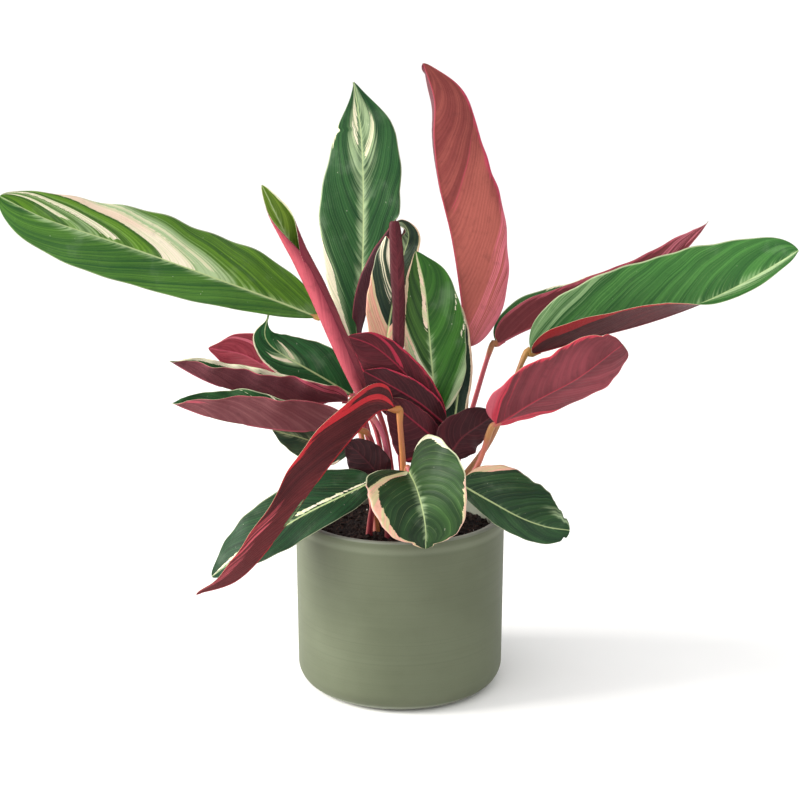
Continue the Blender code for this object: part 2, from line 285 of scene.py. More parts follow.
# The potting soil is dark moist peat, filled by hand to 15 mm below the rim and a little higher in the
# middle. Its top is crumbs and fibres, with a few white specks of perlite.
SOIL_RADIUS = 68.3
SOIL_TOP = 112.0
SOIL_DOME = 1.6
SOIL_BOTTOM = 7.4
SOIL_CENTRE = 0.4
SOIL_STEPS = 400
SOIL_ROWS = 150
SOIL_SIDE_ROWS = 24
CRUMBS = 900
CRUMB_LEAST = 0.35
SPECKS = 34
FULL_TURN = 6.28


def rough_ground(x, y, seed, sizes, heights):
    """Sums of sine waves that cross at many angles, each set finer and lower than the one before."""
    rng = np.random.default_rng(seed)
    total = np.zeros_like(x)
    for size, height in zip(sizes, heights):
        for turn, shift in zip(rng.uniform(0, np.pi, 5), rng.uniform(0, FULL_TURN, 5)):
            along = (x * np.cos(turn) + y * np.sin(turn)) * FULL_TURN
            total += height * np.sin(along / size + shift) / 2.2
    return total


def soil_height(x, y):
    """A low dome, 1 - r^2, with lumps, that sinks a little at the wall."""
    r = np.hypot(x, y) / SOIL_RADIUS
    rough = rough_ground(x, y, 3, (26, 11, 5.5, 2.6, 1.4), (0.5, 0.55, 0.5, 0.35, 0.2))
    return SOIL_TOP + SOIL_DOME * (1 - r ** 2) + rough - 1.2 * r ** 8


def peat():
    """Nearly black brown with rusty and grey crumbs, rough all over."""
    start, finish = new_material("peat")
    place = start.place()
    crumb = start.node("TexVoronoi", {}, {"Vector": place, "Scale": 620.0}, "Color").parts()[0]
    wet = start.noise(place, 60, 3)
    grain = start.noise(place, 900, 4)
    base = crumb.rise(0.45, 1).mix("1B1412", "3B2A22")
    base = (grain.rise(0.6, 0.8) * 0.5).mix(base, "5A4538")
    base = (wet.rise(0.5, 0.7) * 0.6).mix(base, "120D0C")
    bump = start.bump(grain + crumb * 0.6, 0.9, 0.0012)
    return finish(Base_Color=base, Roughness=0.78 + grain * 0.2, Normal=bump, Specular_IOR_Level=0.2)


def perlite():
    """White puffed glass, a little grey in fine patches."""
    start, finish = new_material("perlite")
    grey_patch = start.noise(start.place(), 1400, 2)
    return finish(Base_Color=grey_patch.rise(0.5, 0.7).mix("E9E5DC", "A89F92"), Roughness=0.8 + grey_patch * 0.1)


def crumbs(count, seed, large, reach, lift):
    """Points and faces of small stones strewn on the soil: a pole, two belts of six points half a step
    apart and another pole, each point pushed in or out at random, then turned and set down."""
    rng = np.random.default_rng(seed)
    turn = bearings(6)
    upper = np.stack([np.cos(turn), np.sin(turn), np.full(6, 0.55)], axis=1)
    lower = np.stack([np.cos(turn + 0.5), np.sin(turn + 0.5), np.full(6, -0.35)], axis=1)
    solid = np.vstack([[(0, 0, 1)], upper, lower, [(0, 0, -0.8)]])
    here = np.arange(6)
    after = (here + 1) % 6
    faces = np.vstack([np.stack([0 * here, 1 + here, 1 + after], axis=1),
                       np.stack([1 + here, 7 + here, 1 + after], axis=1),
                       np.stack([1 + after, 7 + here, 7 + after], axis=1),
                       np.stack([13 + 0 * here, 7 + after, 7 + here], axis=1)])
    size = CRUMB_LEAST + (large - CRUMB_LEAST) * rng.random(count) ** 2.5
    away = reach * np.sqrt(rng.random(count))
    bearing = rng.uniform(0, 2 * np.pi, count)
    x, y = away * np.cos(bearing), away * np.sin(bearing)
    middle = np.stack([x, y, soil_height(x, y) + lift * size], axis=1)
    points = solid * rng.uniform(0.65, 1.25, (count, 14, 3)) * size[:, None, None]
    spin = rng.uniform(0, 2 * np.pi, (count, 1))
    x, y = points[..., 0], points[..., 1]
    points = np.stack([x * np.cos(spin) - y * np.sin(spin), x * np.sin(spin) + y * np.cos(spin),
                       points[..., 2] * 0.8], axis=-1) + middle[:, None]
    every = faces + 14 * np.arange(count)[:, None, None]
    return points.reshape(-1, 3), every.reshape(-1, 3)


turn, out = np.meshgrid(bearings(SOIL_STEPS), np.linspace(SOIL_CENTRE, SOIL_RADIUS, SOIL_ROWS))
x, y = out * np.cos(turn), out * np.sin(turn)
soil_top = np.stack([x, y, soil_height(x, y)], axis=-1).reshape(-1, 3)
side = even(np.vstack([[(SOIL_RADIUS, SOIL_TOP - 4)],
                       arc((SOIL_RADIUS - POT_HEEL, SOIL_BOTTOM + POT_HEEL), POT_HEEL, 0, -90, 8),
                       [(SOIL_CENTRE, SOIL_BOTTOM)]]), SOIL_SIDE_ROWS)
soil_points = np.vstack([soil_top, turned(side, SOIL_STEPS)])
soil_faces = [face[::-1] for face in tube_faces(SOIL_ROWS + SOIL_SIDE_ROWS, SOIL_STEPS)]
crumb_points, crumb_faces = crumbs(CRUMBS, seed=11, large=2.1, reach=66, lift=0.1)
soil_faces += (crumb_faces + len(soil_points)).tolist()
add_piece("soil_fill", np.vstack([soil_points, crumb_points]), soil_faces, [peat()],
          "potting_soil", "soil")
speck_points, speck_faces = crumbs(SPECKS, seed=5, large=1, reach=64, lift=0.3)
add_piece("soil_perlite", speck_points, speck_faces, [perlite()], "potting_soil")


# Every leaf is one thin living blade on a stalk of its own. The blade is bright above and maroon below,
# stiffened by a midrib, and pleated along side veins that bend towards the tip. Between the veins run
# streaks of cream, pink and pale green, where the leaf lacks its green.
BLADE_THICK = 0.34
BLADE_COLUMNS = 44
BLADE_ROW_STEP = 1.4
MARGIN_HALF = 0.7
RIDGE_HEIGHT = 0.75
PLEAT_HEIGHT = 0.06
PLEAT_PITCH = 5.2
VEIN_POWER = 1.45
BEND_PLACES = 161
NO_HEM = ([2.0], [0.0])
DRIP_START = 0.84
SOFT_FOLD_HALF = 6
DENT_DEPTH = 0.3
SWELLS = ((0.016, 19, 4), (0.01, 47, 6))
STALK_STEPS = 18
STALK_ROWS = 90
LEFT, BOTH, RIGHT = -1, 0, 1
DARK_GREENS = ("143C1C", "2C5C2A")
MAROONS = ("42121A", "642228")
FEATHER = (BOTH, -1, 2, 0, 0.1, 0.6)
SOFTNESS = {"cream": 0.06, "pink": 0.12, "pale": 0.2, "red": 0.08, "rose": 0.12, "bright": 0.2}


def spline(points, count):
    """count points, evenly spaced, on the smooth curve through the given points (Catmull-Rom)."""
    p = np.array(points, float)
    p = np.vstack([2 * p[0] - p[1], p, 2 * p[-1] - p[-2]])
    t = np.linspace(0, 1, 24, endpoint=False)[:, None]
    runs = [0.5 * (2 * b + (c - a) * t + (2 * a - 5 * b + 4 * c - d) * t**2
                   + (3 * b - a - 3 * c + d) * t**3)
            for a, b, c, d in zip(p, p[1:], p[2:], p[3:])]
    return even(np.vstack(runs + [p[-2:-1]]), count)


def keyed(values, u):
    """The values, spread evenly from base to tip, read at each u. One number holds all along."""
    values = np.atleast_1d(np.array(values, float))
    values = values.reshape(len(values), -1)
    at = np.linspace(0, 1, len(values))
    read = np.stack([np.interp(u, at, column) for column in values.T], axis=1)
    return read[:, 0] if read.shape[1] == 1 else read


def unit(v):
    return v / np.linalg.norm(v, axis=-1, keepdims=True)


def ease(x, low, high):
    """0 up to low, 1 from high on, and 3k^2 - 2k^3 between them, k of the way."""
    k = np.clip((x - low) / (high - low), 0, 1)
    return k * k * (3 - 2 * k)


def half_width(u, base=0.52, tip=0.72):
    """u^base (1 - u)^tip, scaled so that the widest place is 1."""
    widest = base / (base + tip)
    return u**base * (1 - u) ** tip / (widest**base * (1 - widest) ** tip)


def side_arc(fold, curl, hem, reach):
    """Steps across and up to each place on one side, for a half width of 1. The sheet's slope there is
    fold + curl s, and past the hem's place it is turned by the hem's angle too. The cosine and sine of
    the slope are summed along s."""
    s = np.linspace(0, 1, BEND_PLACES)
    place, angle = hem
    slope = fold + curl * s + angle * ease(s, place - 0.08, place + 0.08)
    at = np.clip(reach * (BEND_PLACES - 1), 0, BEND_PLACES - 1.001)
    low = at.astype(int)
    steps = []
    for way in (np.cos(slope), np.sin(slope)):
        run = np.cumsum((way[:, 1:] + way[:, :-1]) / 2, axis=1) / (BEND_PLACES - 1)
        run = np.concatenate([np.zeros((len(way), 1)), run], axis=1)
        steps.append(run[:, low] + (run[:, low + 1] - run[:, low]) * (at - low))
    return steps


def blade_sheet(rib, face, left, right, hem, wave, drip, nicks, seed):
    """The blade's middle sheet. From each rib point, both sides run out as arcs times the half width,
    and a slow wave grows as s^2 towards the margin. The half width swells and shrinks a little as two
    sines of t, narrows towards the tip by the drip, and dips to a peak at each nick. Gives points,
    normals, t, s, mm from the rib, and the length."""
    fine = spline(rib, 400)
    length = np.linalg.norm(np.diff(fine, axis=0), axis=1).sum()
    rows = int(length / BLADE_ROW_STEP) + 12
    t = 0.5 - 0.5 * np.cos(np.pi * np.linspace(0.12, 1, rows))
    t = np.clip((t - t[0]) / (1 - t[0]), 0, 1)
    at = np.linspace(0, 1, len(fine))
    line = np.stack([np.interp(t, at, column) for column in fine.T], axis=1)
    along = unit(np.gradient(line, t, axis=0))
    face = keyed(face, t)
    face = unit(face - (face * along).sum(1, keepdims=True) * along)
    aside = np.cross(along, face)
    x = np.linspace(-1, 1, BLADE_COLUMNS + 1)
    s = np.sign(x) * np.abs(x) ** 1.35
    points = np.empty((rows, len(s), 3))
    reach = np.empty((rows, len(s)))
    phase = np.random.default_rng(seed).uniform(0, FULL_TURN, 8)
    for sign, own, half in ((LEFT, s < 0, left), (RIGHT, s >= 0, right)):
        wide, fold, curl, *ends = half
        wide = keyed(wide, t) * half_width(t, *ends) * (1 - drip * ease(t, DRIP_START, 1))
        wide = wide * (1 + sum(swell * np.sin(rate * t + phase[first + sign])
                               for swell, rate, first in SWELLS))
        for side, place, span, depth in nicks:
            if side == sign:
                wide = wide * (1 - depth * np.clip(1 - np.abs(t - place) / span, 0, 1))
        wide = np.maximum(wide, MARGIN_HALF)[:, None]
        fold = np.radians(keyed(fold, t))[:, None] * np.minimum(1, wide / SOFT_FOLD_HALF)
        curl = np.radians(keyed(curl, t))[:, None]
        place, angle = hem if sign > 0 else NO_HEM
        turn_over = (keyed(place, t)[:, None], np.radians(keyed(angle, t))[:, None])
        across, lift = side_arc(fold, curl, turn_over, np.abs(s[own]))
        reach[:, own] = wide * np.abs(s[own])
        points[:, own] = (line[:, None] + (wide * across)[..., None] * sign * aside[:, None]
                          + (wide * lift)[..., None] * face[:, None])
    t, s = np.meshgrid(t, s, indexing="ij")
    size, cycles = wave
    fade = ease(t, 0, 0.12) * ease(1 - t, 0, 0.08)
    sway = size * s ** 2 * (np.sin(FULL_TURN * cycles * t + phase[0] + 0.9 * np.sign(s))
                            + 0.45 * np.sin(FULL_TURN * cycles * 2.3 * t + phase[1] - 1.3 * np.sign(s)))
    dents = DENT_DEPTH * np.sin(FULL_TURN * 1.7 * t + 2.2 * s + phase[2]) * np.cos(3.5 * s + phase[3])
    points = points + (fade * (sway + dents))[..., None] * sheet_normal(points)
    return points, sheet_normal(points), t, s, reach, length


def sheet_normal(points):
    """The unit cross product of the steps across and along the sheet."""
    return unit(np.cross(np.gradient(points, axis=1), np.gradient(points, axis=0)))


def stroke_field(tones, tone, w, s):
    """How strongly a tone is laid on: the strongest of its strokes. A stroke is (side, first vein, last
    vein, nearest, farthest, strength); a vein is named by where it leaves the midrib."""
    field = np.zeros_like(w)
    reach = np.abs(s)
    soft = SOFTNESS[tone]
    for side, first, last, near, far, strength in tones.get(tone, ()):
        band = ease(w, first - soft / 2, first + soft / 2)
        band = band * (1 - ease(w, last - soft / 2, last + soft / 2))
        if near > 0:
            band = band * ease(reach, near - soft, near + soft)
        if far < 1:
            band = band * (1 - ease(reach, far - soft, far + soft))
        if side != BOTH:
            band = band * (s * side > 0)
        field = np.maximum(field, strength * band)
    return field.ravel()


def streaks(start):
    """What both sides of a blade read: mm along the midrib where the vein starts, mm from the midrib,
    fine and broad streaks along the veins, and the pleats and fine lines as sine waves across them."""
    x, d, own = start.attribute("vein").parts()
    fine = start.noise(start.vector(x * 0.5, d * 0.025, own * 9), 1, 3)
    broad = start.noise(start.vector(x * 0.13, d * 0.016, own * 9.0 + 40), 1, 2)
    bend = start.noise(start.vector(x * 0.08, d * 0.02, own * 5), 1, 1)
    wide = (x * (2 * np.pi / PLEAT_PITCH) + bend * 9.0).sine()
    thin = (x * (2 * np.pi / 1.15) + bend * 20.0).sine()
    return d, fine, broad, wide, thin


def leaf_top():
    """Green from the leaf's own dark to its own bright, paler along the midrib, with streaks of pale
    green, cream and pink where the leaf carries them, a light midrib and a thin pale margin. Thin pale
    lines on the pleat crests are pale side veins and partly painted highlight, the pleat troughs carry
    painted shade, and dusty grey patches are partly painted sheen."""
    start, finish = new_material("leaf_upper")
    d, fine, broad, wide, thin = streaks(start)
    cream, pink, pale = start.attribute("paint").parts()
    s, t, rim = start.attribute("edge").parts()
    place = start.place()
    mottle = start.noise(place, 160, 3)
    dust_and_sheen = start.noise(place, 45, 4)
    scratch = start.noise(start.stretch(place, (1, 1, 0.35)), 900, 1)
    calm = t.rise(1, 0.7) * dust_and_sheen.rise(0.3, 0.62)
    leaf = (broad * 0.8 + fine * 0.4).rise(0.4, 0.85).mix(*start.own("ground", "second"))
    # Thin pale lines on the pleat crests: pale side veins, partly painted highlight.
    leaf = ((wide.rise(0.94, 1) * 0.13 + thin.rise(0.3, 1) * 0.025) * calm).mix(leaf, "A9C27C")
    # Darker pleat troughs: painted shade.
    leaf = (wide.rise(-0.5, -1) * calm * 0.1).mix(leaf, "0C2212")
    feather = (pale * 1.25 + (fine - 0.5) * 1.3 + (broad - 0.5) * 0.7 - 0.2).rise(0, 1)
    leaf = (feather * pale.rise(0, 0.3) * 0.8).mix(leaf, "B7CC9C")
    # Grey patches: dust, partly painted sheen.
    leaf = (dust_and_sheen.rise(0.56, 0.8) * 0.14).mix(leaf, "B4C4AC")
    cut = (cream + (fine - 0.5) * 1.1 + (broad - 0.5)).rise(0.47, 0.53) * cream.rise(0.02, 0.12)
    light = pink.mix("EEE2C8", "DC9F8A")
    light = ((fine + broad * 0.5).rise(0.72, 0.86) * 0.6).mix(light, "AEBE84")
    leaf = cut.mix(leaf, light)
    leaf = (s.rise(0.965, 0.99) * rim).mix(leaf, pink.mix("D9DDB4", "E9A9A0"))
    leaf = (scratch.rise(0.79, 0.82) * 0.4).mix(leaf, "E8E6D0")
    leaf = (mottle.rise(0.55, 0.75) * 0.16).mix(leaf, "16301C")
    rib_line = (d + t * 0.5).rise(1, 0.35)
    leaf = (rib_line * 0.75).mix(leaf, "C2D294")
    bump = start.bump(wide * 0.4 + thin * 0.12 + fine * 0.6 + mottle * 0.3, 0.4, 0.0004)
    rough = 0.36 + mottle * 0.16 + dust_and_sheen.rise(0.5, 0.8) * 0.12
    return finish(Base_Color=leaf, Roughness=rough, Normal=bump, Specular_IOR_Level=0.2)


def leaf_under():
    """Maroon from the leaf's own dark to its own light, with red and pink streaks and margin, fine
    darker veins and a raised midrib of a redder colour."""
    start, finish = new_material("leaf_underside")
    d, fine, broad, wide, thin = streaks(start)
    red, pink, bright = start.attribute("paint").parts()
    s, t, rim = start.attribute("edge").parts()
    mottle = start.noise(start.place(), 200, 3)
    cloud = start.noise(start.place(), 40, 3)
    share = broad * 0.6 + fine * 0.3 + cloud * 0.35 + bright * 0.5
    leaf = share.rise(0.5, 1).mix(*start.own("ground", "second"))
    leaf = (wide.rise(0.88, 1) * 0.07).mix(leaf, "C06464")
    leaf = (thin.rise(0.4, 1) * 0.04).mix(leaf, "2A0B12")
    cut = (red + (fine - 0.5) * 1.2 + (broad - 0.5) * 0.9).rise(0.35, 0.65) * red.rise(0.02, 0.2)
    hot = pink.mix(start.attribute("hot", "Color"), "D87886")
    leaf = (cut * (0.5 + fine * 0.5)).mix(leaf, hot)
    leaf = (s.rise(0.955, 0.985) * rim).mix(leaf, hot)
    leaf = (mottle.rise(0.52, 0.8) * 0.22).mix(leaf, "22080F")
    leaf = ((d + t * 0.4).rise(1, 0.4) * 0.45).mix(leaf, hot)
    bump = start.bump(wide * 0.35 + thin * 0.15 + fine * 0.5 + mottle * 0.35, 0.4, 0.0004)
    return finish(Base_Color=leaf, Roughness=0.42 + mottle * 0.16, Normal=bump, Specular_IOR_Level=0.2)


def stalk_skin():
    """Smooth fleshy skin in the stalk's own colours, streaked lengthways."""
    start, finish = new_material("stalk_skin")
    along, angle, own = start.attribute("run").parts()
    streak = start.noise(start.vector(along * 0.03, angle * 2.2, own * 7), 1, 3)
    spot = start.noise(start.vector(along * 0.5, angle * 3, own * 7), 1, 3)
    skin = streak.rise(0.42, 0.62).mix(*start.own("tint", "shade"))
    skin = (spot.rise(0.62, 0.8) * 0.35).mix(skin, "3A1416")
    bump = start.bump(streak + spot * 0.3, 0.3, 0.0004)
    return finish(Base_Color=skin, Roughness=0.38 + spot * 0.15, Normal=bump, Specular_IOR_Level=0.45)


LEAF_TOP = leaf_top()
LEAF_UNDER = leaf_under()
STALK_SKIN = stalk_skin()


def give(mesh, name, values):
    """Values for each point: a vector of three numbers, or a colour of four."""
    kind, field = ("FLOAT_VECTOR", "vector") if values.shape[-1] == 3 else ("FLOAT_COLOR", "color")
    mesh.attributes.new(name, kind, "POINT").data.foreach_set(field, values.astype(np.float32).ravel())


def add_blade(name, seed, rib, face, left, right, hem=NO_HEM, wave=(0.8, 2.5), drip=0.35, nicks=(),
              veins=0.36, rim_tone=0.4, greens=DARK_GREENS, maroons=MAROONS, hot="B8344A",
              back=False, pale=(FEATHER,), **tones):
    """The blade as a closed shell: the middle sheet pushed up and down along its normals, with a groove
    over the midrib, a ridge e^(-d^2) high under it, pleats between the side veins, and a rim round it.
    A vein that leaves the midrib at w passes t = w + veins |s|^power. Greens and maroons are a dark and a
    light one, or four where the right half has its own. Cream, pink and pale are strokes above, and red,
    rose and bright are strokes below. With back, set where the underside is the face that shows, only a
    slot name is picked, and nothing uses it."""
    tones["pale"] = pale
    points, normal, t, s, reach, length = blade_sheet(rib, face, left, right, hem, wave, drip,
                                                      nicks, seed)
    rows, columns = t.shape
    w = t - veins * np.abs(s) ** VEIN_POWER
    pleat = PLEAT_HEIGHT * np.sin(w * length * 2 * np.pi / PLEAT_PITCH) * ease(np.abs(s), 0.03, 0.25)
    pleat = pleat * ease(1 - np.abs(s), 0, 0.15) * ease(t, 0, 0.08) * ease(1 - t, 0, 0.08)
    thick = BLADE_THICK / 2 * (0.55 + 0.45 * ease(1 - np.abs(s), 0, 0.1))
    ridge = RIDGE_HEIGHT * (1 - 0.75 * t) * np.exp(-(reach / 0.9) ** 2) * ease(1 - t, 0, 0.05)
    upper = points + (pleat + thick - 0.3 * ridge)[..., None] * normal
    lower = points + (pleat - thick - ridge)[..., None] * normal
    count = rows * columns
    index = np.arange(count).reshape(rows, columns)
    ring = np.concatenate([index[0, :-1], index[:-1, -1], index[-1, :0:-1], index[:0:-1, 0]])
    after = np.roll(ring, -1)
    top = grid_faces(rows, columns)[:, ::-1]
    rim = np.stack([ring, ring + count, after + count, after], axis=1)
    faces = np.concatenate([top, rim, grid_faces(rows, columns, count)])
    piece = add_piece(name + "_blade", np.concatenate([upper, lower]).reshape(-1, 3), faces,
                      [LEAF_TOP, LEAF_UNDER], "leaf_underside" if back else "leaf_upper_side",
                      "leaf_" + name)
    which = np.zeros(len(faces), np.int32)
    which[-len(top):] = 1
    mesh = piece.data
    mesh.polygons.foreach_set("material_index", which)
    vein = np.stack([w * length, reach, 0.5 * np.sign(s) + seed], axis=-1)
    edge = np.stack([np.abs(s), t, np.full_like(t, rim_tone)], axis=-1)
    give(mesh, "vein", np.tile(vein.reshape(-1, 3), (2, 1)))
    give(mesh, "edge", np.tile(edge.reshape(-1, 3), (2, 1)))
    above = [stroke_field(tones, tone, w, s) for tone in ("cream", "pink", "pale")]
    below = [stroke_field(tones, tone, w, s) for tone in ("red", "rose", "bright")]
    give(mesh, "paint", np.concatenate([above, below], axis=1).T)
    right_half = (s.ravel() > 0)[:, None]
    for number, label in enumerate(("ground", "second")):
        over, under = (np.where(right_half, linear(pair[-2:][number]), linear(pair[number]))
                       for pair in (greens, maroons))
        give(mesh, label, np.concatenate([over, under]))
    give(mesh, "hot", np.tile(linear(hot), (2 * count, 1)))


def add_stalk(name, seed, rib, face, path, thick, tints):
    """A round tube along the path, its radius easing from foot to neck, with a fifth more at the foot,
    a quarter more in the neck below the blade, and a taper under the midrib, where it ends. The tints
    are those of one side, of the other side and of the neck."""
    line = spline(rib, 60)
    along = unit(line[1] - line[0])
    up = np.array(face[0], float)
    up = unit(up - (up @ along) * along)
    foot, *way = path
    centre = spline([(*foot, SOIL_TOP - 8), (*foot, SOIL_TOP + 2), *way, line[0] - along * 5,
                     line[0] - up * 0.4, line[2] - up * 0.9], STALK_ROWS)
    tangent = unit(np.gradient(centre, axis=0))
    level = np.linalg.svd(centre - centre.mean(axis=0))[2][2]
    level = level * np.sign(level[1])
    across = unit(level - (tangent @ level)[:, None] * tangent)
    other = np.cross(tangent, across)
    run = np.append(0, np.cumsum(np.linalg.norm(np.diff(centre, axis=0), axis=1)))
    left_over = run[-1] - run
    radius = thick[0] + (thick[1] - thick[0]) * run / run[-1]
    radius = radius * (1.2 - 0.2 * ease(run, 5, 45))
    neck = ease(left_over, 4, 8) * (1 - ease(left_over, 14, 24))
    radius = radius * (1 + 0.26 * neck) * (0.35 + 0.65 * ease(left_over, 0, 7))
    turn = bearings(STALK_STEPS)
    out = radius[:, None] * (1 - 0.05 * np.cos(2 * turn + 0.7) - 0.03 * np.cos(5 * turn))
    points = (centre[:, None] + (out * np.cos(turn))[..., None] * across[:, None]
              + (out * np.sin(turn))[..., None] * other[:, None])
    piece = add_piece(name + "_stalk", points.reshape(-1, 3), tube_faces(STALK_ROWS, STALK_STEPS),
                      [STALK_SKIN], "leaf_stalk", "stalk_" + name)
    places = np.stack(np.broadcast_arrays(run[:, None], np.abs(turn - np.pi), float(seed)), axis=-1)
    give(piece.data, "run", places.reshape(-1, 3))
    one, two, end = (np.array(linear(code)) for code in tints)
    half = ease(np.cos(turn - 0.4), -0.3, 0.3)[None, :, None]
    tint = one + (two - one) * half
    tint = tint + (end - tint) * neck[:, None, None]
    give(piece.data, "tint", tint.reshape(-1, 4))
    give(piece.data, "shade", (0.72 * tint + 0.28 * np.array(linear("A8485A"))).reshape(-1, 4))


def leaf(name, seed, rib, face, path, thick=(2.0, 1.6), tints=("A8444E", "BE6A66", "9A6C34"), **blade):
    """One blade and its stalk, along the same start of the midrib."""
    add_blade(name, seed, rib, face, **blade)
    add_stalk(name, seed, rib, face, path, thick, tints)


# The long leaf at the far left grows out level and bright green, with a cream sector in its upper half
# and a paler green between. Its neck is yellow.
leaf("far_left", seed=1,
     rib=[(-57, -12, 270), (-89, -22, 285), (-120, -32, 299), (-165, -44, 318), (-199, -54, 332),
          (-231, -62, 345), (-259, -66, 360)],
     face=[(0.15, -0.62, 0.75), (0.1, -0.72, 0.68), (0.1, -0.8, 0.6)],
     left=([22, 23, 27], [-5, -15, -25], [-30, -25, -20], 0.75, 0.5),
     right=(35, [12, 5, 0], [-15, -10, -10], 0.36, 0.58),
     path=[(-17, -8), (-20, -4, 135), (-30, 10, 191), (-44, 6, 243)], thick=(2.4, 1.7), wave=(1.3, 3),
     drip=0, greens=("204E1C", "507E28", "2C5414", "628E22"),
     cream=[(RIGHT, 0.4, 0.51, 0, 1, 1), (RIGHT, 0.3, 0.4, 0.1, 1, 0.5),
            (RIGHT, 0.62, 0.7, 0.05, 1, 0.66), (RIGHT, 0.74, 0.8, 0.2, 1, 0.62)],
     pink=[(RIGHT, 0.4, 0.6, 0.5, 1, 0.35)],
     pale=[(RIGHT, 0.28, 0.44, 0, 1, 1), (RIGHT, 0.6, 0.84, 0, 1, 0.4), (LEFT, -1, 2, 0, 0.12, 0.6),
           (RIGHT, -1, 0.3, 0, 0.1, 0.5)], tints=("B0884A", "C77A6A", "B8923E"))

# A young leaf that is still rolled into a tube, pink outside, with its seam towards the front and its
# green inside showing at the tip.
leaf("rolled", seed=2,
     rib=[(-24, -28, 212), (-40, -33, 250), (-58, -38, 294), (-77, -43, 334), (-91, -46, 365)],
     face=[(0.3, -0.8, 0.3)], left=(22, 0, [180] * 8 + [130, 80, 50], 0.4, 0.6),
     right=(24, 0, [212] * 6 + [205, 195, 140, 80, 50], 0.4, 0.6),
     path=[(-2, -12), (-6, -12, 138), (-11, -22, 185)], thick=(2.2, 1.7), wave=(0, 1), rim_tone=0.9,
     greens=("4C6A1A", "7E9A34"), cream=[(BOTH, -1, 2, 0.8, 1, 0.75)],
     # The dark hot colour on the rim and on the right flap's red strokes is painted shade along the seam,
     # and the right flap's darker maroons are painted shade too.
     maroons=("86303E", "AE4A56", "6A2430", "923A44"), hot="6E1E30",
     red=[(RIGHT, -1, 2, 0.9, 1, 0.9), (RIGHT, 0.5, 0.9, 0.3, 1, 0.6)],
     # The lighter band along the left flap is a painted highlight.
     bright=[(LEFT, -1, 2, 0.3, 0.8, 0.7)], tints=("B8546A", "CC8480", "B8746A"))

# The tallest leaf on the left stands upright and dark green, with its right half folded forward below
# to show the maroon back, and cream along its left edge.
leaf("top_left", seed=3,
     rib=[(-31, 30, 236), (-28, 32, 274), (-26, 33, 332), (-27, 32, 388), (-32, 26, 428)],
     face=[(-0.1, -0.95, 0.15), (0, -0.97, 0.1)], left=(31, [10, 8, 0], [0, -5, -10], 0.95, 1.0),
     right=([31, 31, 31, 31, 30, 26, 26, 29, 31, 31, 31], [12, 8, 0], [0, -5, -10], 0.9, 0.7),
     hem=([0.2, 0.28, 0.38, 0.5, 0.66, 0.94, 1.4, 2, 2, 2, 2], [176]),
     path=[(-1, 5), (-4, 8, 136), (-11, 18, 181), (-25, 27, 216)], thick=(2.3, 1.7), drip=0.45,
     nicks=[(LEFT, 0.83, 0.012, 0.16)], veins=0.42, greens=("123A1C", "2C5A2C"),
     cream=[(LEFT, -1, 0.02, 0.74, 1, 1), (RIGHT, 0.7, 0.78, 0.05, 0.5, 0.6),
            (LEFT, 0.72, 0.9, 0.08, 0.4, 0.6), (LEFT, 0.36, 0.44, 0.93, 1, 0.8)],
     pale=[(BOTH, 0.62, 2, 0.04, 0.5, 0.72), (LEFT, -0.3, 0.1, 0.55, 1, 0.5),
           (BOTH, -1, 0.35, 0, 0.16, 0.85), (BOTH, 0.35, 2, 0, 0.1, 0.85),
           (BOTH, 0.56, 0.9, 0, 0.3, 0.5)], maroons=("34101A", "4E1A22"), hot="8A2A38")

# A small young leaf rolled into a narrow tube between the tall ones, maroon outside with a pink edge.
leaf("inner_rolled", seed=4, rib=[(-1, -7, 244), (-1, -9, 275), (-2, -9, 306), (-4, -8, 336)],
     face=[(0, 0.95, 0.1)], left=([11, 11, 12, 14], -10, 170, 0.12, 0.18),
     right=([11, 11, 12, 14], -10, 170, 0.12, 0.18), path=[(4, 0), (3, 0, 138), (1, -4, 195)],
     wave=(0, 1), drip=0, maroons=("46121C", "702C34"), hot="5E1C28", red=[(BOTH, -1, 2, 0.8, 1, 0.5)],
     rose=[(LEFT, -1, 2, 0.9, 1, 0.5)], tints=("A4404A", "B45A58", "80403A"))

# Behind the rolled leaves, a leaf bends over at its tip. Its left half is peach, under bands of grey
# green, and its right half is dark.
leaf("behind", seed=5,
     rib=[(-11, 12, 240), (-6, 12, 271), (1, 11, 305), (6, 9, 322), (3, 6, 332), (-3, 3, 334)],
     face=[(-0.1, -0.95, 0.1), (0, -0.95, 0.1), (0.1, -0.4, 0.9)],
     left=([19, 19, 19, 19, 20, 23], 5, -5, 0.45, 0.5), right=(14, 5, 10),
     path=[(6, 9), (3, 11, 135), (-3, 11, 191)], wave=(0.4, 2), drip=0, greens=("1A2C22", "36462E"),
     cream=[(BOTH, -0.6, 0.19, 0, 1, 1), (LEFT, 0.3, 0.7, 0.05, 1, 0.62), (RIGHT, 0.28, 0.4, 0, 1, 0.6),
            (RIGHT, 0.3, 1, 0.86, 1, 0.8)],
     pink=[(BOTH, -0.6, 0.2, 0, 1, 1), (RIGHT, -0.5, 1, 0.7, 1, 0.8)], pale=[(LEFT, 0.3, 2, 0, 1, 0.5)])

